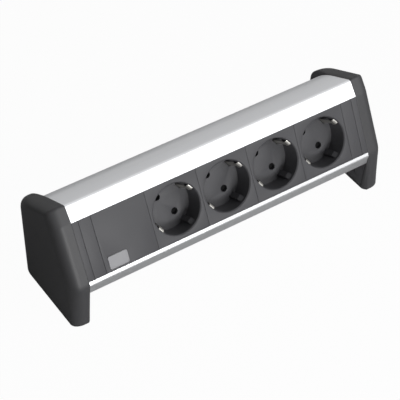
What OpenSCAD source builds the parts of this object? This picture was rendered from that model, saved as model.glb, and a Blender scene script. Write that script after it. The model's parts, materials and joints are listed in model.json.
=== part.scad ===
// Desk power strip: a leaning aluminium housing between two end caps, with four round sockets.
// Millimetres. X runs along the strip, the front faces -Y, and Z = 0 is the desk.

/* [Strip] */
// Length of one module along the strip
module_l = 44; // [43.8:0.1:46]
// Length of the filler strip at each end of the row of modules
filler_l = 10; // [8:1:16]
// Length of each end plate's tongue in the window
tongue_l = 5; // [4:0.5:8]
// Gap at each seam between two modules
seam = 0.2; // [0.15:0.05:0.4]

/* [Housing] */
// Lean of the front face from upright, in degrees
face_lean = 25.8; // [24:0.2:27]
// Height of the window, measured along the front face
window_h = 46.7; // [46.4:0.1:47.2]
// Height of the window's lower edge above the desk
window_z = 41.5; // [40:0.5:44]
// Wall thickness of the housing
wall = 2; // [1.8:0.1:2.1]
// Width of the band above the window
band_h = 13.5; // [13:0.1:14.5]
// Extra lean of that band, in degrees
band_lean = 11.5; // [10:0.5:13]
// Width of the flat strip below the window
lip_h = 3.1; // [2.8:0.1:3.4]
// Depth of the housing from the window's lower edge to its back
housing_d = 76; // [74:0.5:77]

/* [End caps] */
// Thickness of an end cap along the strip
cap_t = 14.5; // [14:0.25:18]
// Depth of an end cap from front to back
cap_d = 81; // [80.5:0.25:84]
// How far the cap stands proud of the housing's front and top
cap_proud = 0.2; // [0.1:0.05:0.4]
// Wall thickness of the cap cover
cover_wall = 2.2; // [2:0.1:2.5]
// Thickness of the end plate
plate_t = 2.5; // [2.2:0.1:3]

/* [Sockets] */
// Radius of the round recess
recess_r = 19.5; // [19.3:0.1:19.6]
// Depth of the recess
recess_depth = 17.5; // [17:0.1:18]
// Width of the bevel round the recess
rim = 0.9; // [0.6:0.1:1]
// Distance between the two pin holes
pin_pitch = 19; // [18.9:0.05:19.1]
// Radius of a pin hole
pin_hole_r = 2.7; // [2.5:0.05:2.8]
// Turn of the earth clips from the strip's length, in degrees
socket_turn = 35; // [33:1:37]
// Turn that opens a shutter, in degrees
shutter_turn = 40; // [39:0.5:42]

/* [Inlet] */
// Radius of the gland's bore
gland_bore_r = 4.2; // [3.5:0.1:4.6]

/* [Fits] */
// Clearance between pieces that are pushed together
fit_gap = 0.1; // [0.08:0.01:0.15]
// Radial clearance of a shutter on its pivot
pivot_gap = 0.05; // [0.03:0.01:0.08]

/* [Hidden] */
$fn = 64;

black = "#2b2b2d";
dark = "#3a3a3c";
silver = "#b8babc";
brass = "#c9a24a";
steel = "#c8c8cc";

// Along the strip
socket_count = 4;
housing_l = (socket_count + 1) * module_l + 2 * (filler_l + tongue_l);
cap_x = housing_l / 2;
blank_x = -socket_count / 2 * module_l;
function socket_x(i) = blank_x + i * module_l;

// Front to back: the cap's front is a little proud of the window, and its knee is level with the lip's fold
window_y = lip_h * sin(face_lean) + cap_proud * cos(face_lean) - cap_d / 2;
housing_back = window_y + housing_d;

// A point of the end view, from its height up the front face and its depth behind that face
function at(u, w) = [
    window_y + u * sin(face_lean) + w * cos(face_lean),
    window_z + u * cos(face_lean) - w * sin(face_lean)
];
function heading(a) = [cos(a), sin(a)];
function cross2(a, b) = a[0] * b[1] - a[1] * b[0];
// Where a line through p along d meets a line through q along e
function meet(p, d, q, e) = p + d * cross2(q - p, e) / cross2(d, e);
function unit(v) = v / norm(v);
function turn(a) = a > 180 ? a - 360 : a < -180 ? a + 360 : a;

// The arc that rounds the corner p, between its neighbours a and b
function corner(a, p, b, r, steps) =
    let (
        u = unit(a - p),
        v = unit(b - p),
        half = acos(u * v) / 2,
        c = p + unit(u + v) * r / sin(half),
        s = p + u * r / tan(half) - c,
        e = p + v * r / tan(half) - c,
        start = atan2(s[1], s[0]),
        sweep = turn(atan2(e[1], e[0]) - start)
    )
    [for (k = [0:steps]) c + r * heading(start + sweep * k / steps)];

// Length that a rounding takes up on each side of the corner p
function reach(a, p, b, r) = r / tan(acos(unit(a - p) * unit(b - p)) / 2);

// A closed outline with each corner rounded to its own radius, or less where its sides are too short
function rounded(pts, radii, steps = 10) =
    let (
        n = len(pts),
        reaches = [for (i = [0:n - 1]) reach(pts[(i + n - 1) % n], pts[i], pts[(i + 1) % n], radii[i])],
        room = [for (i = [0:n - 1])
            norm(pts[(i + 1) % n] - pts[i]) / (reaches[i] + reaches[(i + 1) % n])]
    )
    [for (i = [0:n - 1])
        let (share = min(1, room[i], room[(i + n - 1) % n]))
        each corner(pts[(i + n - 1) % n], pts[i], pts[(i + 1) % n], share * radii[i], steps)];

// An outline whose sides are all moved inwards; the outline runs clockwise in the end view
function inset(pts, t) =
    let (
        n = len(pts),
        d = [for (i = [0:n - 1]) unit(pts[(i + 1) % n] - pts[i])],
        q = [for (i = [0:n - 1]) pts[i] + t * [d[i][1], -d[i][0]]]
    )
    [for (i = [0:n - 1]) meet(q[(i + n - 1) % n], d[(i + n - 1) % n], q[i], d[i])];

// A bent strip of even thickness along a path
function strip(path, t) =
    let (
        n = len(path),
        d = [for (i = [0:n - 2]) unit(path[i + 1] - path[i])],
        side = [for (i = [0:n - 1])
            let (
                a = d[max(i - 1, 0)],
                b = d[min(i, n - 2)],
                m = unit(a + b)
            )
            [-m[1], m[0]] * t / 2 / (m * b)]
    )
    concat([for (i = [0:n - 1]) path[i] + side[i]], [for (i = [n - 1:-1:0]) path[i] - side[i]]);

// Housing outline, clockwise in the end view from the foot of the lip
lip_foot = at(-lip_h - 8.3, 6.7);
lip_fold = at(-lip_h, 0);
band_foot = at(window_h, 0);
top_u = window_h + band_h * cos(band_lean);
ridge = at(top_u, band_h * sin(band_lean));
top_bend_w = 42;
top_end = at(top_u, top_bend_w);
back_h = 19.1;
back_top = [housing_back, window_z + back_h];
bottom_z = lip_foot[1];
housing_pts = [lip_foot, lip_fold, band_foot, ridge, top_end, back_top, [housing_back, bottom_z]];
housing_radii = [3, 3, 8, 2.5, 60, 16, 6];
inner_radii = [1, 1, 10, 0.5, 60 - wall, 16 - wall, 6 - wall];

// Screw channels in the housing
channel_r = 1.7;
channel_wall = 2.3;
channel_in = wall + channel_wall + channel_r - 0.4;
sunk_head_r = 3;
sunk_head_h = 1.5;
end_screw_l = 14;
channel_z = bottom_z + channel_in;
channels = [
    at(top_u - channel_in, 10.2),
    [housing_back - channel_in, channel_z],
    [lip_foot[0] + 7.6, channel_z]
];

// Modules in the window
front_t = 2.6;
flange_t = 1.7;
carrier_t = front_t + fit_gap + flange_t;
flange_reach = 1.9;
window_gap = 0.15;
rib_w = carrier_t + 0.2;
rib_t = 1.5;

// Cap outline at the housing, level with it all round, down to the desk
foot_lift = 0.6;
front_foot = 4.6;
cap_front = -cap_d / 2;
cap_back = cap_d / 2;
edge = inset(housing_pts, -cap_proud);
cap_pts = [
    [cap_front + front_foot, foot_lift],
    edge[1],
    edge[2],
    edge[3],
    edge[4],
    edge[5],
    [edge[5][0], foot_lift]
];
cap_radii = [3, 14, 8, 2.5, 45, 12, 3];
// Moves of those corners out to the crown of the cap, and in again to its outer face
back_swell = cap_back - edge[5][0];
crown_move = [[-3.6, 0], [0, 0], [0, 0], [0.3, 0.6], [5.8, -1.7], [back_swell, 5.8], [back_swell, 0]];
face_move = [[5.5, 0], [11.5, 2], [9, -4.3], [5.9, -8.4], [-7.8, -2.4], [-13, -1], [-13, 0]];
crown_x = 3;
// How far from the outer face each corner starts to round off
edge_round = [11.5, 11.5, 11.5, 9.5, 8, 10, 11.5];
slice_t = 0.02;

// Pegs that hold a cover on its end plate
peg_r = 1.5;
pegs = [
    [cap_front + 16, 13],
    [cap_back - 20, 13],
    [-5, window_z + 14]
];
foot_r = 4.5;
foot_h = 1.6;
foot_x = cap_x + 6.2;
front_foot_in = 15;
rear_foot_in = 20;
feet_y = [cap_front + front_foot_in, cap_back - rear_foot_in];

// Socket: depths behind the front face
floor_t = 2.3;
cup_back = recess_depth + floor_t;
cup_r = recess_r + 2.1;
chamber_d = 5;
skirt_back = cup_back + chamber_d;
skirt_r = 19;
back_t = 2.2;
back_z = skirt_back + back_t;
pin_r = pin_pitch / 2;
pin_turn = socket_turn - 90;
clip_t = 0.8;
clip_w = 5;
clip_r = 16.5;
slot_w = 6;
slot_r = [15.7, 17.3];
rib_wide = 4.4;
rib_reach = 2;
rib_lead = 6.5;
shutter_t = 2.2;
pivot_r = 2;
hub_r = 3.6;
window_r = 3.2;
shutter_edge = 0.9;
shutter_r = pin_r + window_r + shutter_edge;
chamber_gap = 0.8;
chamber_r = shutter_r + chamber_gap;
spring_r = 4.6;
wire_r = 0.4;
tower_r = 4.4;
tower_bore = 3.5;
bar_t = 0.8;
bar_z = 38.2;
bar_w = 7;
jaw_t = 0.6;
jaw_w = 3;
jaw_gap = 4.9;
jaw_l = 9;
screw_r = 1.15;
screw_place = 17;

// Leads and terminal block behind the blank module
pole_pitch = pin_r * cos(socket_turn);
lead_r = 1.2;
lead_z = bar_z + bar_t + lead_r;
block_l = 20;
block_h = 23;
block_front = 35;
block_rear = 46;
ear_y = 15.2;
ear_t = 3;
block_x = blank_x - 2;

// Gland in the rear wall
gland_r = 6.8;
gland_flange_r = 9.2;
gland_flange_t = 1.8;
gland_nut_r = 9;
gland_nut_t = 4;
gland_nose = 3.2;
gland_nose_step = 0.8;
gland_in = 10;
nut_gap = 0.4;
gland_z = channel_z + channel_r + channel_wall + gland_nut_r * cos(30) + nut_gap;

// Places children by the end view: their plane is YZ and their thickness runs along X
module along_x(x0, x1) {
    translate([x0, 0, 0]) rotate([90, 0, 90]) linear_extrude(x1 - x0) children();
}

// Places children on the front face: x along the strip, y up the face from the window's middle, z outwards
module on_face(x = 0) {
    translate([x, window_y, window_z])
        rotate([90 - face_lean, 0, 0])
            translate([0, window_h / 2, 0]) children();
}

// A cylinder that runs back from depth d0 to depth d1 behind the front face
module back_pin(r, d0, d1) {
    translate([0, 0, -d1]) cylinder(r = r, h = d1 - d0);
}

module pan_screw(head_r, head_h, r, l) {
    difference() {
        union() {
            cylinder(r = head_r, h = head_h);
            translate([0, 0, -l]) cylinder(r = r, h = l);
        }
        translate([-head_r, -0.4, head_h - 0.8]) cube([2 * head_r, 0.8, 1]);
    }
}

// Housing: a bent wall with the window, a rib behind each edge of the window and the screw channels
module housing_profile() {
    rib_end = rib_w + rib_t;
    top_wall = top_u - wall / 2;
    color(silver) difference() {
        union() {
            along_x(-cap_x, cap_x) difference() {
                polygon(rounded(housing_pts, housing_radii));
                polygon(rounded(inset(housing_pts, wall), inner_radii));
                polygon([at(0, -1), at(window_h, -1), at(window_h, wall + 1.2), at(0, wall + 1.2)]);
            }
            along_x(-cap_x, cap_x)
                polygon([at(-0.3, rib_w), at(-0.3, rib_end), at(-8.4, rib_end), at(-6.6, rib_w)]);
            along_x(-cap_x, cap_x)
                polygon([
                    at(window_h + 0.3, rib_w),
                    at(window_h + 0.3, rib_end),
                    at(top_wall, rib_end),
                    at(top_wall, rib_w)
                ]);
            for (c = channels) translate([-cap_x, c[0], c[1]]) rotate([0, 90, 0])
                cylinder(r = channel_r + channel_wall, h = housing_l);
        }
        for (c = channels) translate([-cap_x - 1, c[0], c[1]]) rotate([0, 90, 0])
            cylinder(r = channel_r, h = housing_l + 2);
        translate([blank_x, housing_back - 2 * wall, gland_z])
            rotate([-90, 0, 0]) cylinder(r = gland_r + fit_gap, h = 4 * wall);
    }
}

// Cone of a sunk screw head below its face, with room round it
module screw_head(gap) {
    translate([0, 0, -sunk_head_h])
        cylinder(r1 = channel_r + gap - 0.2, r2 = sunk_head_r + gap, h = sunk_head_h);
}

// Right end plate with the tongue that closes the window
module end_plate() {
    tongue_y = window_h - 2 * window_gap;
    tongue_root = 3;
    difference() {
        union() {
            along_x(cap_x, cap_x + plate_t)
                polygon(cap_outline(0, cover_wall + fit_gap));
            on_face(cap_x) translate([0, window_gap - window_h / 2, 0]) {
                translate([seam / 2 - tongue_l, 0, -front_t])
                    cube([tongue_l - seam / 2, tongue_y, front_t]);
                translate([-tongue_root, 0, -carrier_t])
                    cube([tongue_root + 0.5, tongue_y, carrier_t - cover_wall - fit_gap]);
            }
        }
        for (p = pegs) translate([cap_x, p[0], p[1]]) rotate([0, 90, 0])
            translate([0, 0, -1]) cylinder(r = peg_r + pivot_gap, h = plate_t + 2);
        for (c = channels) translate([cap_x + plate_t, c[0], c[1]]) rotate([0, 90, 0]) {
            translate([0, 0, -plate_t - 1]) cylinder(r = channel_r + fit_gap, h = plate_t + 2);
            screw_head(fit_gap);
        }
    }
}

module left_end_plate() {
    color(dark) mirror([1, 0, 0]) end_plate();
}

module right_end_plate() {
    color(dark) end_plate();
}

// Share of its way in to the outer face that a corner has gone at x, by a quarter ellipse of length r
function face_share(x, r) =
    let (s = max(0, 1 - (cap_t - x) / r))
    1 - sqrt(1 - s * s);

// Cap outline at the distance x from the housing, inset by t
function cap_outline(x, t = 0) =
    rounded(
        inset([for (i = [0:len(cap_pts) - 1])
            cap_pts[i]
                + min(1, x / crown_x) * crown_move[i]
                + face_share(x, edge_round[i]) * face_move[i]], t),
        [for (r = cap_radii) max(r - t, 1)],
        6
    );

// Right cover: it swells from the housing to its crown, and an oval rounding leads to the outer face
module cap_cover() {
    end_x = cap_x + cap_t;
    longest = max(edge_round);
    difference() {
        hull() {
            along_x(cap_x, cap_x + slice_t) polygon(cap_outline(0));
            for (x = concat(crown_x, [for (a = [15:15:90]) cap_t - longest * (1 - sin(a))]))
                along_x(cap_x + x - slice_t, cap_x + x) polygon(cap_outline(x));
        }
        hull() {
            along_x(cap_x - 1, cap_x + plate_t + 0.2) polygon(cap_outline(0, cover_wall));
            along_x(end_x - cover_wall - slice_t, end_x - cover_wall) polygon(cap_outline(cap_t, cover_wall));
        }
        for (y = feet_y) translate([foot_x, y, -1]) cylinder(r = foot_r + fit_gap, h = 1 + foot_h);
    }
    for (p = pegs) translate([0, p[0], p[1]]) rotate([0, 90, 0]) {
        translate([0, 0, cap_x + plate_t]) cylinder(r = 3, h = cap_t - plate_t - cover_wall / 2);
        translate([0, 0, cap_x + 0.4]) cylinder(r = peg_r, h = plate_t);
    }
}

module left_cap_cover() {
    color(black) mirror([1, 0, 0]) cap_cover();
}

module right_cap_cover() {
    color(black) cap_cover();
}

module end_plate_screws() {
    color(steel) for (side = [0, 1], c = channels)
        mirror([side, 0, 0]) translate([cap_x + plate_t, c[0], c[1]]) rotate([0, 90, 0]) difference() {
            union() {
                screw_head(0);
                translate([0, 0, -end_screw_l]) cylinder(r = channel_r - pivot_gap, h = end_screw_l - 0.2);
            }
            translate([-sunk_head_r, -0.4, -0.9]) cube([2 * sunk_head_r, 0.8, 2]);
        }
}

module rubber_feet() {
    color("#1c1c1c") for (x = [-foot_x, foot_x], y = feet_y)
        translate([x, y, 0]) cylinder(r = foot_r, h = foot_h);
}

// A piece of the window's closing: a front plate with a flange that slides behind the lips
module carrier(l) {
    size_x = l - seam;
    size_y = window_h - 2 * window_gap;
    flange_y = window_h + 2 * flange_reach;
    translate([-size_x / 2, -size_y / 2, -carrier_t]) cube([size_x, size_y, carrier_t]);
    translate([-size_x / 2, -flange_y / 2, -carrier_t]) cube([size_x, flange_y, flange_t]);
}

module filler(x) {
    color(dark) on_face(x) carrier(filler_l);
}

module left_filler() {
    filler(-cap_x + tongue_l + filler_l / 2);
}

module right_filler() {
    filler(cap_x - tongue_l - filler_l / 2);
}

badge_size = [16, 10];
badge_place = [-10.5, -16.5];
badge_t = 0.6;
badge_sink = 0.2;
ear_x = [block_x - block_l / 2 + 4, block_x + block_l / 2 - 4];

module blank_module() {
    color(dark) {
        on_face(blank_x) difference() {
            carrier(module_l);
            translate([-module_l / 2 + 3, -window_h / 2 + 3, -carrier_t - 1])
                cube([module_l - 6, window_h - 6, 1 + carrier_t - front_t]);
            translate([badge_place[0], badge_place[1], -badge_sink])
                linear_extrude(1) square(badge_size + [fit_gap, fit_gap], center = true);
        }
        for (x = ear_x) on_face(x) translate([0, ear_y, 0]) difference() {
            back_pin(3, front_t - 0.2, block_front);
            back_pin(screw_r, block_front - 12, block_front + 1);
        }
    }
}

module badge() {
    color(silver) on_face(blank_x) translate([badge_place[0], badge_place[1], -badge_sink])
        linear_extrude(badge_t) square(badge_size, center = true);
}

// Socket module: recess with guide ribs, pin holes, slots for the earth clips and a chamber for the shutter
module socket(i) {
    color(dark) on_face(socket_x(i)) {
        difference() {
            union() {
                carrier(module_l);
                back_pin(cup_r, carrier_t - 0.5, cup_back);
                back_pin(skirt_r, cup_back - 0.5, skirt_back);
            }
            back_pin(recess_r, -1, recess_depth);
            translate([0, 0, -rim]) cylinder(r1 = recess_r, r2 = recess_r + 2 * rim, h = 2 * rim);
            back_pin(chamber_r, cup_back, skirt_back + 1);
            for (side = [0, 180]) {
                rotate(pin_turn + side) translate([pin_r, 0, 0]) back_pin(pin_hole_r, 0, cup_back + 1);
                rotate(pin_turn + side) translate([screw_place, 0, 0])
                    back_pin(screw_r + pivot_gap, cup_back + 0.7, skirt_back + 1);
                rotate(socket_turn + side) {
                    translate([slot_r[0], -slot_w / 2, -skirt_back - 1])
                        cube([slot_r[1] - slot_r[0], slot_w, skirt_back - recess_depth + 2]);
                    translate([slot_r[1], -slot_w / 2, -recess_depth + 2])
                        cube([recess_r + 1 - slot_r[1], slot_w, recess_depth - 3.2]);
                }
            }
        }
        for (side = [0, 180]) rotate(pin_turn + side) rotate([90, 0, 0]) translate([0, 0, -rib_wide / 2])
            linear_extrude(rib_wide) polygon([
                [recess_r - rib_reach, -recess_depth - 0.5],
                [recess_r - rib_reach, -rib_lead],
                [recess_r + 0.6, -1.5],
                [recess_r + 0.6, -recess_depth - 0.5]
            ]);
    }
}

// Earth stirrup: one strip with a sprung prong at each side of the recess, rolled over at its tip
module earth_clip(i) {
    strap_z = back_z + clip_t / 2;
    prong = [
        [recess_r + 0.5, -2.2],
        [recess_r - 0.5, -2.4],
        [recess_r - 1.7, -3.5],
        [recess_r - 2.1, -5.2],
        [recess_r - 1.6, -8],
        [clip_r, -recess_depth],
        [clip_r, -strap_z]
    ];
    path = concat(prong, [for (k = [len(prong) - 1:-1:0]) [-prong[k][0], prong[k][1]]]);
    color(steel) on_face(socket_x(i)) rotate(socket_turn) rotate([90, 0, 0])
        translate([0, 0, -clip_w / 2]) linear_extrude(clip_w) polygon(strip(path, clip_t));
}

// Shutter disc: its solid part covers the pin holes until it is turned
module shutter(i) {
    front = cup_back + 0.35;
    color(black) on_face(socket_x(i)) difference() {
        union() {
            back_pin(shutter_r, front, front + shutter_t);
            back_pin(hub_r, front, skirt_back - 0.3);
        }
        back_pin(pivot_r + pivot_gap, 0, skirt_back);
        for (side = [0, 180]) rotate(pin_turn + shutter_turn + side) translate([pin_r, 0, 0])
            back_pin(window_r, 0, skirt_back);
    }
}

// Return spring: turns of wire round the shutter's hub, with a leg on each end
module shutter_spring(i) {
    turns = 3;
    step = 0.75;
    first = skirt_back - wire_r;
    color(steel) on_face(socket_x(i)) {
        for (k = [0:turns - 1]) translate([0, 0, -first + k * step])
            rotate_extrude() translate([spring_r, 0]) circle(wire_r);
        for (k = [0, turns - 1]) rotate(120 * k) translate([spring_r, 0, -first + k * step])
            rotate([-90, 0, 0]) cylinder(r = wire_r, h = 6);
    }
}

// Rear cover: closes the shutter's chamber, carries its pivot and guides the contact jaws
module socket_back(i) {
    color(black) on_face(socket_x(i)) difference() {
        union() {
            back_pin(skirt_r, skirt_back, back_z);
            back_pin(pivot_r, cup_back + 0.4, skirt_back + 0.5);
            for (side = [0, 180]) rotate(pin_turn + side) translate([pin_r, 0, 0])
                back_pin(tower_r, back_z - 0.5, bar_z);
        }
        for (side = [0, 180]) {
            rotate(pin_turn + side) translate([pin_r, 0, 0]) back_pin(tower_bore, skirt_back - 1, bar_z + 1);
            rotate(pin_turn + side) translate([screw_place, 0, 0])
                back_pin(screw_r + pivot_gap, skirt_back - 1, back_z + 1);
            rotate(socket_turn + side) translate([slot_r[0], -slot_w / 2, -back_z - 1])
                cube([slot_r[1] - slot_r[0], slot_w, back_t + 2]);
        }
    }
}

module socket_back_screws() {
    color(steel) for (i = [1:socket_count], side = [0, 180])
        on_face(socket_x(i)) rotate(pin_turn + side) translate([screw_place, 0, -back_z]) rotate([180, 0, 0])
            pan_screw(2, 1.5, screw_r, 6);
}

bar_start = socket_x(1) - 17;
bar_end = socket_x(socket_count) + 9;

// Contact bar with a pair of jaws for each pin; side is -1 for the lower pins and 1 for the upper ones
module contact_bar(side) {
    color(brass) on_face() {
        translate([bar_start, side * pole_pitch - bar_w / 2, -bar_z - bar_t])
            cube([bar_end - bar_start, bar_w, bar_t]);
        for (i = [1:socket_count], jaw = [-1, 1])
            translate([
                socket_x(i) - side * pin_r * sin(socket_turn) - jaw_w / 2,
                side * pole_pitch + jaw * (jaw_gap + jaw_t) / 2 - jaw_t / 2,
                -bar_z - 0.1
            ])
                cube([jaw_w, jaw_t, jaw_l]);
    }
}

module line_bar() {
    contact_bar(-1);
}

module neutral_bar() {
    contact_bar(1);
}

// Earth bar: lies on the earth stirrups and steps back to the leads at its left end
module earth_bar() {
    front = back_z + clip_t + bar_t / 2;
    rear = bar_z + bar_t / 2;
    path = [
        [bar_start - 9, -rear],
        [bar_start - 0.5, -rear],
        [bar_start - 0.5, -front],
        [bar_end, -front]
    ];
    color(brass) on_face() rotate([90, 0, 0]) translate([0, 0, -clip_w / 2])
        linear_extrude(clip_w) polygon(strip(path, bar_t));
}

lead_end = block_x + block_l / 2 - 8;

// A straight lead from the terminal block to the back of a bar
module lead(y, x1, c) {
    color(c) on_face() translate([lead_end, y, -lead_z]) rotate([0, 90, 0])
        cylinder(r = lead_r, h = x1 - lead_end);
}

module line_lead() {
    lead(-pole_pitch, bar_start + 8, "#6b4226");
}

module neutral_lead() {
    lead(pole_pitch, bar_start + 8, "#3b6ea5");
}

module earth_lead() {
    lead(0, bar_start - 2, "#6a9a3a");
}

clamp_x = [block_x - 5.5, block_x + 5.5];
clamp_r = 1.8;

module terminal_block() {
    color("#e4e2da") on_face() difference() {
        union() {
            translate([block_x - block_l / 2, -block_h / 2, -block_rear])
                cube([block_l, block_h, block_rear - block_front]);
            for (x = ear_x) translate([x - 3.5, 0, -block_front - ear_t]) cube([7, ear_y + 3.5, ear_t]);
        }
        for (x = ear_x) translate([x, ear_y, 0]) back_pin(screw_r + pivot_gap, block_front - 1, block_rear);
        for (k = [-1:1]) {
            translate([block_x - block_l / 2 - 1, k * pole_pitch, -lead_z]) rotate([0, 90, 0])
                cylinder(r = lead_r + 0.3, h = block_l + 2);
            for (x = clamp_x) translate([x, k * pole_pitch, 0])
                back_pin(clamp_r + fit_gap, lead_z, block_rear + 1);
        }
    }
}

module terminal_screws() {
    color(steel) for (k = [-1:1], x = clamp_x)
        on_face(x) translate([0, k * pole_pitch, -block_rear]) rotate([180, 0, 0]) difference() {
            translate([0, 0, lead_z + lead_r - block_rear])
                cylinder(r = clamp_r, h = block_rear - lead_z - lead_r + 0.4);
            translate([-clamp_r, -0.3, -0.3]) cube([2 * clamp_r, 0.6, 1]);
        }
}

module terminal_block_screws() {
    color(steel) for (x = ear_x)
        on_face(x) translate([0, ear_y, -block_front - ear_t]) rotate([180, 0, 0])
            pan_screw(2.4, 1.6, screw_r - pivot_gap, 10);
}

// Places children at the inlet: z runs outwards from the rear wall
module at_inlet() {
    translate([blank_x, housing_back, gland_z]) rotate([-90, 0, 0]) children();
}

module cable_gland() {
    color(black) at_inlet() difference() {
        union() {
            translate([0, 0, -gland_in]) cylinder(r = gland_r, h = gland_in + gland_flange_t / 2);
            cylinder(r = gland_flange_r, h = gland_flange_t);
            cylinder(r = gland_r - gland_nose_step, h = gland_nose);
        }
        translate([0, 0, -gland_in - 1]) cylinder(r = gland_bore_r, h = gland_in + gland_nose + 2);
    }
}

module gland_nut() {
    color(dark) at_inlet() translate([0, 0, -wall - gland_nut_t]) difference() {
        cylinder(r = gland_nut_r, h = gland_nut_t, $fn = 6);
        translate([0, 0, -1]) cylinder(r = gland_r + pivot_gap, h = gland_nut_t + 2);
    }
}

housing_profile();
left_end_plate();
right_end_plate();
left_cap_cover();
right_cap_cover();
end_plate_screws();
rubber_feet();
left_filler();
right_filler();
blank_module();
badge();
socket(1);  // socket_1
socket(2);  // socket_2
socket(3);  // socket_3
socket(4);  // socket_4
earth_clip(1);  // earth_clip_1
earth_clip(2);  // earth_clip_2
earth_clip(3);  // earth_clip_3
earth_clip(4);  // earth_clip_4
shutter(1);  // shutter_1
shutter(2);  // shutter_2
shutter(3);  // shutter_3
shutter(4);  // shutter_4
shutter_spring(1);  // shutter_spring_1
shutter_spring(2);  // shutter_spring_2
shutter_spring(3);  // shutter_spring_3
shutter_spring(4);  // shutter_spring_4
socket_back(1);  // socket_back_1
socket_back(2);  // socket_back_2
socket_back(3);  // socket_back_3
socket_back(4);  // socket_back_4
socket_back_screws();
line_bar();
neutral_bar();
earth_bar();
line_lead();
neutral_lead();
earth_lead();
terminal_block();
terminal_screws();
terminal_block_screws();
cable_gland();
gland_nut();
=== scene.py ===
import json
import math

import bpy
import numpy as np
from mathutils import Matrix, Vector


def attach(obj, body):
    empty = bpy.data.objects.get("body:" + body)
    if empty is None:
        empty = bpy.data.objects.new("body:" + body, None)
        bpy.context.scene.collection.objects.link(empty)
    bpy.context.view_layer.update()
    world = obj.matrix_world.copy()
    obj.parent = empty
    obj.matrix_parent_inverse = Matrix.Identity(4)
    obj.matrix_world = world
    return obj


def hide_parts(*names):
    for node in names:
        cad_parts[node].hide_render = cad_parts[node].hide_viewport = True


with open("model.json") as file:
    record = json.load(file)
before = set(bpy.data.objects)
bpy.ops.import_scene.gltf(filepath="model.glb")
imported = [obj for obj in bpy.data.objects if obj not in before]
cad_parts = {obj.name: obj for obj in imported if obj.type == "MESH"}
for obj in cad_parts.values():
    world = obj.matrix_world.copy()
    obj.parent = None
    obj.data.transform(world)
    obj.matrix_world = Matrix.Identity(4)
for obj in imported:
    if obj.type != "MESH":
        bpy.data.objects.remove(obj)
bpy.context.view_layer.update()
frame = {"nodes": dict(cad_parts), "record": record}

# Sizes of the part are in millimetres; MM turns them to metres.
MM = 0.001
SOCKETS = (1, 2, 3, 4)

# The front face leans back by LEAN, and WINDOW is the lower edge of its window: (front to back, height).
LEAN = math.radians(25.8)
WINDOW = np.array([-38.971, 41.5])
WINDOW_HEIGHT = 46.7
SOCKET_PITCH = 44.0
SOCKET_TURN = math.radians(35)


def linear(colour):
    """Linear RGBA of an sRGB hex colour."""
    parts = [int(colour[i:i + 2], 16) / 255 for i in (1, 3, 5)]
    return [c / 12.92 if c <= 0.04045 else ((c + 0.055) / 1.055) ** 2.4 for c in parts] + [1]


def add(tree, kind, inputs=None, **settings):
    """Adds a node to a tree, with its settings, and sets or links its inputs."""
    made = tree.nodes.new(kind)
    for name, value in settings.items():
        setattr(made, name, value)
    for name, value in (inputs or {}).items():
        if isinstance(value, bpy.types.NodeSocket):
            tree.links.new(value, made.inputs[name])
        else:
            made.inputs[name].default_value = value
    return made


def new_material(name, **constants):
    """A material with one Principled shader; the constants go on the shader's own sockets."""
    made = bpy.data.materials.new(name)
    made.use_nodes = True
    shader = made.node_tree.nodes["Principled BSDF"]
    for socket, value in constants.items():
        shader.inputs[socket.replace("_", " ")].default_value = value
    return made, made.node_tree, shader


ROUGHNESS_STRAY = 0.06
PLASTIC_STRAY, PLASTIC_BUMP, CLOUD_MM = 0.1, 0.35, 35
METAL_STRAY, METAL_BUMP = 0.05, 0.2


def dress(tree, shader, colour, tone_map, stray, fine, roughness, strength, depth_mm):
    """Links a finish to its shader: one pattern lets the tone stray from the colour, and a fine one gives the
    roughness and the relief."""
    base = linear(colour)[:3]
    tone = add(tree, "ShaderNodeMix", {
        "Factor": tone_map.outputs["Fac"],
        "A": [(1 - stray) * c for c in base] + [1],
        "B": [min(1, (1 + stray) * c) for c in base] + [1],
    }, data_type="RGBA")
    gloss = add(tree, "ShaderNodeMapRange", {
        "Value": fine.outputs["Fac"],
        "To Min": roughness - ROUGHNESS_STRAY,
        "To Max": roughness + ROUGHNESS_STRAY,
    })
    bump = add(tree, "ShaderNodeBump", {
        "Height": fine.outputs["Fac"], "Strength": strength, "Distance": depth_mm * MM})
    tree.links.new(tone.outputs["Result"], shader.inputs["Base Color"])
    tree.links.new(gloss.outputs["Result"], shader.inputs["Roughness"])
    tree.links.new(bump.outputs["Normal"], shader.inputs["Normal"])


def moulded_plastic(name, colour, roughness, grain_mm, depth_mm, gloss_level=0.4):
    """Plastic from a spark-eroded mould: matte, with a fine even grain and faint cloudy changes of tone.
    A real grain is about 0.1 mm wide, so it is drawn coarser to show in the picture."""
    made, tree, shader = new_material(name, IOR=1.5, Specular_IOR_Level=gloss_level)
    place = add(tree, "ShaderNodeTexCoord").outputs["Object"]
    grain = add(tree, "ShaderNodeTexNoise", {"Vector": place, "Scale": 1 / (grain_mm * MM), "Detail": 3.0})
    cloud = add(tree, "ShaderNodeTexNoise", {"Vector": place, "Scale": 1 / (CLOUD_MM * MM), "Detail": 2.0})
    dress(tree, shader, colour, cloud, PLASTIC_STRAY, grain, roughness, PLASTIC_BUMP, depth_mm)
    return made


def drawn_metal(name, colour, roughness, line_mm, run_mm, depth_mm):
    """Metal with fine lines along the strip, left by the die or the brush: bright, with a streaky sheen."""
    made, tree, shader = new_material(name, Metallic=1.0)
    place = add(tree, "ShaderNodeTexCoord").outputs["Object"]
    stretch = add(tree, "ShaderNodeMapping", {"Vector": place, "Scale": (line_mm / run_mm, 1, 1)})
    lines = add(tree, "ShaderNodeTexNoise", {
        "Vector": stretch.outputs["Vector"], "Scale": 1 / (line_mm * MM), "Detail": 2.0})
    dress(tree, shader, colour, lines, METAL_STRAY, lines, roughness, METAL_BUMP, depth_mm)
    return made


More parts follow.
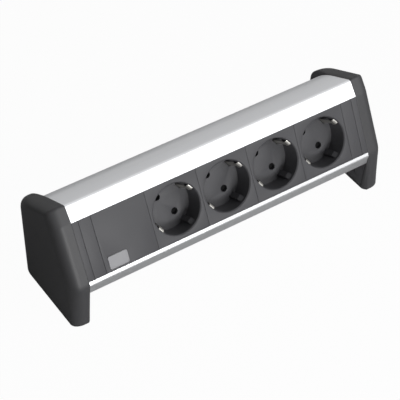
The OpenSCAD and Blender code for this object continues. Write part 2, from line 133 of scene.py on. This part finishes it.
# By slot of the record, with what each finish gives the eye
FINISHES = {
    # Satin silver housing with faint lines along it, bright where it faces a lamp
    "anodised_aluminium": drawn_metal("anodised_aluminium", "#E2E3E5", 0.44, 0.5, 60, 0.01),
    # Small dull silver touches at the sides of the recesses
    "spring_steel": drawn_metal("nickel_plated_spring_steel", "#CFCDC8", 0.4, 0.4, 6, 0.01),
    # Cool grey of the small screws
    "screw_steel": drawn_metal("zinc_plated_screw_steel", "#B9BABD", 0.35, 0.3, 1, 0.01),
    # Warm yellow behind the open pin holes
    "bar_brass": drawn_metal("rolled_contact_brass", "#C9A24A", 0.32, 0.3, 12, 0.01),
    # Even matte dark grey of the sockets, the blank module and the strips beside it
    "grey_plastic": moulded_plastic("dark_grey_abs_panel", "#4E4E51", 0.5, 0.45, 0.02),
    # The panel's plastic again on the caps, silkier; its grey is a little darker as painted shade that
    # deepens the caps' shaded sides
    "cap_plastic": moulded_plastic("dark_grey_abs_cap_painted_shade", "#474749", 0.46, 0.45, 0.02),
    # Near black with hardly a sheen: the black parts' own colour, made darker still as painted shade so that
    # closed pin holes stay dark
    "black_plastic": moulded_plastic("black_abs", "#111112", 0.8, 0.5, 0.02, 0.15),
    # Pale, faintly yellow body of the terminal block
    "pale_plastic": moulded_plastic("ivory_polyamide", "#DDDACF", 0.45, 0.5, 0.02),
    # Flat light grey plate on the blank module
    "badge_face": moulded_plastic("silver_grey_badge_print", "#A9A9AC", 0.6, 0.5, 0.01),
    # Dull black pads on the desk
    "foot_rubber": moulded_plastic("black_foot_rubber", "#181818", 0.8, 0.8, 0.04),
    # Smooth coloured skins of the three leads
    "brown_insulation": moulded_plastic("brown_pvc_sleeve", "#6B4226", 0.4, 0.6, 0.02),
    "blue_insulation": moulded_plastic("blue_pvc_sleeve", "#3B6EA5", 0.4, 0.6, 0.02),
    "green_insulation": moulded_plastic("green_pvc_sleeve", "#6A9A3A", 0.4, 0.6, 0.02),
}
SLOT_OF = {row["node"]: row["material_slot"] for row in frame["record"]["subparts"]}
for node, slot in SLOT_OF.items():
    for holder in frame["nodes"][node].material_slots:
        holder.material = FINISHES[slot]

# Points nearer than JOIN are one point; edges gentler than GENTLE are shaded smooth.
JOIN, GENTLE = 0.001, math.radians(25)
FLAT, BEVEL_OVER = math.radians(0.4), math.radians(30)


def smooth_by_angle(limit):
    """A modifier's node tree that joins a piece's loose triangles and shades it smooth, except over sharp
    edges."""
    tree = bpy.data.node_groups.new("smooth_by_angle", "GeometryNodeTree")
    for way in ("INPUT", "OUTPUT"):
        tree.interface.new_socket("Geometry", in_out=way, socket_type="NodeSocketGeometry")
    start = add(tree, "NodeGroupInput")
    joined = add(tree, "GeometryNodeMergeByDistance", {
        "Geometry": start.outputs["Geometry"], "Distance": JOIN * MM})
    smooth = add(tree, "GeometryNodeSetShadeSmooth", {
        "Geometry": joined.outputs["Geometry"], "Shade Smooth": True}, domain="FACE")
    bend = add(tree, "GeometryNodeInputMeshEdgeAngle")
    gentle = add(tree, "FunctionNodeCompare", {
        "A": bend.outputs["Unsigned Angle"], "B": limit}, data_type="FLOAT", operation="LESS_EQUAL")
    edges = add(tree, "GeometryNodeSetShadeSmooth", {
        "Geometry": smooth.outputs["Geometry"], "Shade Smooth": gentle.outputs["Result"]}, domain="EDGE")
    add(tree, "NodeGroupOutput", {"Geometry": edges.outputs["Geometry"]})
    return tree


ROUND_STEPS = smooth_by_angle(GENTLE)


def soften(node, width=0):
    """Gives a CAD piece the look of a moulded or drawn part: loose triangles are joined and flat ones cleared
    away, curves are shaded smooth, and each sharp edge is bevelled to the width, if there is one."""
    piece = frame["nodes"][node]
    weld = piece.modifiers.new("weld", "WELD")
    weld.merge_threshold = JOIN * MM
    clear = piece.modifiers.new("clear", "DECIMATE")
    clear.decimate_type = "DISSOLVE"
    clear.angle_limit = FLAT
    if width:
        bevel = piece.modifiers.new("bevel", "BEVEL")
        bevel.width = width * MM
        bevel.segments = 3
        bevel.limit_method = "ANGLE"
        bevel.angle_limit = BEVEL_OVER
    shade = piece.modifiers.new("shade", "NODES")
    shade.node_group = ROUND_STEPS


for i in SOCKETS:
    soften(f"socket_{i}", 0.3)
    soften(f"shutter_spring_{i}")
for name in ("blank_module", "left_filler", "right_filler", "left_end_plate", "right_end_plate"):
    soften(name, 0.25)
soften("housing_profile")
soften("cable_gland", 0.4)
soften("rubber_feet", 0.4)


def at(u, w):
    """The point (front to back, height) that lies u up the front face and w behind it."""
    up = np.array([math.sin(LEAN), math.cos(LEAN)])
    behind = np.array([math.cos(LEAN), -math.sin(LEAN)])
    return WINDOW + u * up + w * behind


def shell(name, rows, node):
    """A closed piece from rows of points, in place of a CAD node: each row is a closed ring, and the first
    and last rows close to a point."""
    rows = np.asarray(rows, float) * MM
    count, ring = rows.shape[0], rows.shape[1]
    poles = np.array([rows[0].mean(0), rows[-1].mean(0)])
    points = np.vstack([rows.reshape(-1, 3), poles])
    here = np.arange(ring)
    after = (here + 1) % ring
    start = np.arange(count - 1)[:, None] * ring
    there = start + ring
    quads = np.stack([start + here, there + here, there + after, start + after], -1).reshape(-1, 4)
    last = (count - 1) * ring
    first_fan = np.stack([np.full(ring, count * ring), here, after], -1)
    last_fan = np.stack([np.full(ring, count * ring + 1), last + after, last + here], -1)
    mesh = bpy.data.meshes.new(name)
    mesh.from_pydata(points.tolist(), [], [*quads.tolist(), *first_fan.tolist(), *last_fan.tolist()])
    mesh.polygons.foreach_set("use_smooth", np.ones(len(mesh.polygons), bool))
    mesh.materials.append(FINISHES[SLOT_OF[node]])
    piece = bpy.data.objects.new(name, mesh)
    bpy.context.scene.collection.objects.link(piece)
    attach(piece, "strip")
    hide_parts(node)


def unit(v):
    """Vectors of length one."""
    return v / np.linalg.norm(v, axis=-1, keepdims=True)


def inset(corners, distance):
    """Corners of a clockwise outline whose sides have all moved inwards by a distance."""
    along = unit(np.roll(corners, -1, 0) - corners)
    before = np.roll(along, 1, 0)
    turn = before[:, 0] * along[:, 1] - before[:, 1] * along[:, 0]
    return corners + distance * (before - along) / turn[:, None]


# The most of a side that the arcs at its ends take up, so that none of it vanishes
ARC_SHARE = 0.94


def rounded(corners, radii, steps, side_steps):
    """A closed outline: an arc at each corner, smaller where its sides are short, and even points between
    the arcs."""
    to_last = unit(np.roll(corners, 1, 0) - corners)
    to_next = unit(np.roll(corners, -1, 0) - corners)
    half = np.arccos((to_last * to_next).sum(-1)) / 2
    reach = radii / np.tan(half)
    side = np.linalg.norm(np.roll(corners, -1, 0) - corners, axis=-1)
    room = ARC_SHARE * side / (reach + np.roll(reach, -1))
    radii = radii * np.minimum(1, np.minimum(room, np.roll(room, 1)))
    reach = (radii / np.tan(half))[:, None]
    centre = corners + unit(to_last + to_next) * (radii / np.sin(half))[:, None]
    first = corners + to_last * reach - centre
    final = corners + to_next * reach - centre
    start = np.arctan2(first[:, 1], first[:, 0])
    sweep = (np.arctan2(final[:, 1], final[:, 0]) - start + math.pi) % (2 * math.pi) - math.pi
    angle = start[:, None] + sweep[:, None] * np.linspace(0, 1, steps + 1)
    arcs = centre[:, None] + radii[:, None, None] * np.stack([np.cos(angle), np.sin(angle)], -1)
    share = np.linspace(0, 1, side_steps + 2)[1:-1, None]
    sides = arcs[:, -1:] * (1 - share) + np.roll(arcs, -1, 0)[:, :1] * share
    return np.concatenate([arcs, sides], 1).reshape(-1, 2)


# Housing corners that the caps follow, from the lower edge of the lip round over the top to the back's foot
LIP, BAND, BAND_LEAN = 3.1, 13.5, math.radians(11.5)
TOP = WINDOW_HEIGHT + BAND * math.cos(BAND_LEAN)
HOUSING_BACK, HOUSING_BACK_TOP, HOUSING_BOTTOM = WINDOW[0] + 76, WINDOW[1] + 19.1, 28.32
HOUSING = np.array([
    at(-LIP - 8.3, 6.7),
    at(-LIP, 0),
    at(WINDOW_HEIGHT, 0),
    at(TOP, BAND * math.sin(BAND_LEAN)),
    at(TOP, 42),
    (HOUSING_BACK, HOUSING_BACK_TOP),
    (HOUSING_BACK, HOUSING_BOTTOM),
])
# The caps stand proud of the housing and end a little over the desk. Their corners start at the front foot.
CAP_PROUD, CAP_HALF_DEPTH, CAP_FOOT, FRONT_FOOT_IN = 0.19, 40.5, 0.6, 4.6
EDGE = inset(HOUSING, -CAP_PROUD)
CAP = np.vstack([[(-CAP_HALF_DEPTH + FRONT_FOOT_IN, CAP_FOOT)], EDGE[1:6], [(EDGE[5][0], CAP_FOOT)]])
CAP_RADII = np.array([1.2, 14, 8, 2.5, 45, 12, 1.2])
# How far each corner swells to the crown and draws in to the outer face
SWELL = CAP_HALF_DEPTH - EDGE[5][0]
CROWN_MOVE = np.array([(-3.6, 0), (0, 0), (0, 0), (0.3, 0.6), (5.8, -1.7), (SWELL, 5.8), (SWELL, 0)])
FACE_MOVE = np.array([(5.5, 0), (11.5, 2), (9, -4.3), (5.9, -8.4), (-7.8, -2.4), (-13, -1), (-13, 0)])
# A cap reaches from CAP_INNER to CAP_OUTER along the strip, with its crown CROWN_OUT from the housing.
CAP_INNER, CAP_OUTER, CROWN_OUT, COVER_WALL = 125.0, 139.5, 3.0, 2.2
# How far from the outer face the edge of each corner starts to round off
EDGE_OUT = np.array([8.5, 8.5, 8.5, 8.5, 8, 10, 11.5])
# The rim against the housing, from the hollow outwards: (in from the outline, away from the housing)
RIM = ((COVER_WALL, 0.4), (COVER_WALL - 0.3, 0.05), (COVER_WALL - 0.6, 0), (0.3, 0), (0.1, 0.1))
CAP_ARC_STEPS, CAP_SIDE_STEPS, CROWN_STEPS, EDGE_STEPS = 12, 8, 9, 40


def cap_ring(x, wall=0.0):
    """The cap's outline at x. Its corners swell to the crown by a quarter sine, and draw in to the outer face
    by a quarter ellipse that is longer at the back."""
    crown = math.sin(math.pi / 2 * min(1, (x - CAP_INNER) / CROWN_OUT))
    near = np.clip(1 - (CAP_OUTER - x) / EDGE_OUT, 0, 1)[:, None]
    corners = inset(CAP + crown * CROWN_MOVE + (1 - np.sqrt(1 - near ** 2)) * FACE_MOVE, wall)
    outline = rounded(corners, np.maximum(CAP_RADII - wall, 1), CAP_ARC_STEPS, CAP_SIDE_STEPS)
    return np.column_stack([np.full(len(outline), x), outline])


def shrunk(ring, share):
    """A ring drawn towards its own middle."""
    return ring.mean(0) + (ring - ring.mean(0)) * share


def end_shell(name, side, rows, node):
    """A piece of an end, from rows drawn for the right end; the left end has their mirror image."""
    rows = np.array(rows)
    if side < 0:
        rows = rows[:, ::-1] * (-1, 1, 1)
    shell(name, rows, node)


def cap(name, side, node):
    """An end cap: from its hollow's floor out to the rim, then over the crown and the edge to the flat
    face."""
    floor = cap_ring(CAP_OUTER, COVER_WALL) - (COVER_WALL, 0, 0)
    rows = [shrunk(floor, s) for s in (0.05, 0.5)] + [floor]
    rows += [cap_ring(CAP_INNER, wall) + (out, 0, 0) for wall, out in RIM]
    rows += [cap_ring(CAP_INNER + CROWN_OUT * t) for t in np.linspace(0.1, 1, CROWN_STEPS)]
    for angle in np.linspace(0, math.pi / 2, EDGE_STEPS)[1:]:
        rows.append(cap_ring(CAP_OUTER - EDGE_OUT.max() * (1 - math.sin(angle))))
    rows += [shrunk(rows[-1], s) for s in (0.97, 0.7, 0.35, 0.05)]
    end_shell(name, side, rows, node)


cap("left_cap", -1, "left_cap_cover")
cap("right_cap", 1, "right_cap_cover")

# Pegs inside a cap: where they stand (front to back, height), and the radii of their pin and foot
PEGS = ((-24.5, 13), (20.5, 13), (-5, WINDOW[1] + 14))
PEG_PIN, PEG_FOOT, PEG_SIDES = 1.5, 3.0, 48
# The pin stops short of the end plate's inner face, and the foot stands clear of its outer face.
PLATE, PEG_SHORT, PEG_CLEAR = 2.5, 0.4, 0.02


def peg(name, side, place, node):
    """A peg that holds a cap to its end plate: circles about its axis, for a pin in the plate and a foot
    behind it, with slightly blunted edges."""
    angle = np.linspace(0, -2 * math.pi, PEG_SIDES, endpoint=False)
    circle = np.stack([np.cos(angle), np.sin(angle)], -1)
    tip, step, root = CAP_INNER + PEG_SHORT, CAP_INNER + PLATE + PEG_CLEAR, CAP_OUTER - COVER_WALL
    profile = (
        (tip, PEG_PIN - 0.3), (tip + 0.05, PEG_PIN - 0.1), (tip + 0.2, PEG_PIN), (step - 0.05, PEG_PIN),
        (step, PEG_PIN + 0.05), (step, PEG_FOOT - 0.1), (step + 0.1, PEG_FOOT),
        (root - 0.1, PEG_FOOT), (root, PEG_FOOT - 0.1),
    )
    rows = [np.column_stack([np.full(PEG_SIDES, x), place + r * circle]) for x, r in profile]
    end_shell(name, side, rows, node)


for i, place in enumerate(PEGS, 1):
    peg(f"left_cap_peg_{i}", -1, place, "left_cap_cover")
    peg(f"right_cap_peg_{i}", 1, place, "right_cap_cover")


def on_face(x, points):
    """Model points from face points: along the strip, up the face from the window's middle, and outwards."""
    place = at(WINDOW_HEIGHT / 2 + points[..., 1:2], -points[..., 2:3])
    return np.concatenate([x + points[..., :1], place], -1)


def swept(path, section):
    """Rings of a section carried along a path: the section's first number lies across the plane of the path,
    its second number along the path's normal."""
    ahead = unit(np.gradient(path, axis=0))
    normal = np.stack([-ahead[:, 1], ahead[:, 0]], -1)
    lie = path[:, None] + section[None, :, 1:] * normal[:, None]
    across = np.broadcast_to(section[None, :, :1], lie.shape[:2] + (1,))
    return np.concatenate([lie[..., :1], across, lie[..., 1:]], -1)


def flowing(points, steps):
    """A smooth curve through points: between two of them it is a cubic whose slopes point from the neighbour
    before to the neighbour after."""
    points = np.asarray(points, float)
    ends = np.vstack([2 * points[0] - points[1], points, 2 * points[-1] - points[-2]])
    t = np.linspace(0, 1, steps, endpoint=False)[:, None]
    before, here, there, after = (ends[k:k + len(points) - 1, None] for k in range(4))
    curve = here + t / 2 * (there - before + t * (
        2 * before - 5 * here + 4 * there - after + t * (3 * (here - there) + after - before)))
    return np.vstack([curve.reshape(-1, 2), points[-1:]])


def box_section(width, thickness, radius):
    """A rectangle about its middle with rounded corners, clockwise."""
    w, t = width / 2, thickness / 2
    return rounded(np.array([(-w, -t), (-w, t), (w, t), (w, -t)]), np.full(4, radius), 4, 3)


# Half of an earth stirrup, from its tip to its bend: (out from the socket's axis, out of the front face)
PRONG = np.array([
    (20, -2.2), (19, -2.4), (17.8, -3.5), (17.4, -5.2), (17.9, -8), (17.2, -13), (16.5, -18.5),
    (16.5, -26.4)])
PRONG_BEND = ((16.3, -27.1), (15.6, -27.4))
CLIP_W, CLIP_T, CLIP_CORNER = 5.0, 0.8, 0.25


def earth_clip(i):
    """The earth stirrup of a socket: a rounded strip that bulges into the recess at both sides of it."""
    half = np.vstack([flowing(PRONG, 8), PRONG_BEND])
    path = np.vstack([half, half[::-1] * (-1, 1)])
    rows = swept(path, box_section(CLIP_W, CLIP_T, CLIP_CORNER))
    c, s = math.cos(SOCKET_TURN), math.sin(SOCKET_TURN)
    turn = np.array([[c, s], [-s, c]])
    rows = np.concatenate([rows[..., :2] @ turn, rows[..., 2:]], -1)
    shell(f"earth_stirrup_{i}", on_face(SOCKET_PITCH * (i - 2), rows), f"earth_clip_{i}")


for i in SOCKETS:
    earth_clip(i)

BADGE_SIZE, BADGE_PLACE = np.array([16.0, 10.0]), np.array([-10.5, -16.5])
BADGE_CORNER, BADGE_CORNER_LEAST = 1.3, 0.4
# The badge from its back over the raised rim to its middle: (over the front face, in from the outline)
BADGE_LEVELS = (
    (-0.2, 4.5), (-0.2, 0), (0.25, 0), (0.36, 0.06), (0.4, 0.2), (0.4, 0.55), (0.36, 0.68), (0.24, 0.75),
    (0.22, 0.9), (0.28, 1.6), (0.33, 2.6), (0.36, 3.8), (0.37, 4.6))


def badge_ring(height, in_by):
    """The badge's outline, drawn in by a distance, at a height over the front face."""
    outline = box_section(*(BADGE_SIZE - 2 * in_by), max(BADGE_CORNER - in_by, BADGE_CORNER_LEAST))
    return np.column_stack([outline + BADGE_PLACE, np.full(len(outline), height)])


badge_rows = np.array([badge_ring(*level) for level in BADGE_LEVELS])
shell("pressed_badge", on_face(-2 * SOCKET_PITCH, badge_rows), "badge")

# Camera at the photo's angle
CAMERA = Vector((-464.95, -693.77, 820.1)) * MM
CAMERA_TURN, CAMERA_DROP = math.radians(33.54), math.radians(43.57)
camera = bpy.data.objects.new("camera", bpy.data.cameras.new("camera"))
camera.location = CAMERA
camera.rotation_euler = (math.pi / 2 - CAMERA_DROP, 0, -CAMERA_TURN)
camera.data.lens = 135.9
camera.data.sensor_width = 36
camera.data.clip_start = 0.05
bpy.context.scene.collection.objects.link(camera)
bpy.context.scene.camera = camera

# Floor: white paper to the camera, a softer white in reflections, with the strip's faint shadow on it.
# The shares say how much of its own white the camera and the reflections see; half its side is in metres.
FLOOR_HALF, FLOOR_WHITE, FLOOR_SEEN, FLOOR_MIRRORED = 6, 1.02, 0.95, 0.05
FLOOR_CORNERS = [(x * FLOOR_HALF, y * FLOOR_HALF, 0) for x, y in ((-1, -1), (1, -1), (1, 1), (-1, 1))]
floor_mesh = bpy.data.meshes.new("floor")
floor_mesh.from_pydata(FLOOR_CORNERS, [], [(0, 1, 2, 3)])
floor = bpy.data.objects.new("floor", floor_mesh)
bpy.context.scene.collection.objects.link(floor)
paper = bpy.data.materials.new("white_paper")
paper.use_nodes = True
tree = paper.node_tree
tree.nodes.clear()
ray = add(tree, "ShaderNodeLightPath")
seen = add(tree, "ShaderNodeMath", {0: ray.outputs["Is Camera Ray"], 1: FLOOR_SEEN}, operation="MULTIPLY")
share = add(tree, "ShaderNodeMath", {
    0: ray.outputs["Is Glossy Ray"], 1: FLOOR_MIRRORED, 2: seen.outputs[0]}, operation="MULTIPLY_ADD")
matte = add(tree, "ShaderNodeBsdfDiffuse", {"Color": linear("#CBCBCB")})
glow = add(tree, "ShaderNodeEmission", {"Color": (1, 1, 1, 1), "Strength": FLOOR_WHITE})
both = add(tree, "ShaderNodeMixShader", {0: share.outputs[0], 1: matte.outputs[0], 2: glow.outputs[0]})
add(tree, "ShaderNodeOutputMaterial", {"Surface": both.outputs[0]})
floor_mesh.materials.append(paper)


def lamp(name, place, target, width, height, power):
    """A soft box at a place, facing a target; places and sizes in metres, power in watts."""
    made = bpy.data.objects.new(name, bpy.data.lights.new(name, "AREA"))
    made.data.shape = "RECTANGLE"
    made.data.size = width
    made.data.size_y = height
    made.data.energy = power
    made.location = place
    made.rotation_euler = (Vector(target) - Vector(place)).to_track_quat("-Z", "Y").to_euler()
    bpy.context.scene.collection.objects.link(made)


# A large soft box at the right front, and a low wide one in front that lights the lip and the caps' fronts
STRIP_MIDDLE = (0, 0, 0.06)
lamp("key", (0.44, -0.69, 0.63), STRIP_MIDDLE, 0.77, 0.97, 4.7)
lamp("fill", (-0.1, -0.99, 0.16), STRIP_MIDDLE, 0.55, 0.16, 4.7)

# Studio walls: white to the camera, pale in reflections, and next to no light of their own
WALLS_MIRRORED, WALLS_LIGHT = 0.84, 0.01
world = bpy.data.worlds.new("studio")
world.use_nodes = True
bpy.context.scene.world = world
tree = world.node_tree
tree.nodes.clear()
ray = add(tree, "ShaderNodeLightPath")
seen = add(tree, "ShaderNodeMath", {0: ray.outputs["Is Camera Ray"], 1: WALLS_LIGHT}, operation="ADD")
level = add(tree, "ShaderNodeMath", {
    0: ray.outputs["Is Glossy Ray"], 1: WALLS_MIRRORED, 2: seen.outputs[0]}, operation="MULTIPLY_ADD")
back = add(tree, "ShaderNodeBackground", {"Color": (1, 1, 1, 1), "Strength": level.outputs[0]})
add(tree, "ShaderNodeOutputWorld", {"Surface": back.outputs[0]})

bpy.context.scene.view_settings.view_transform = "Standard"
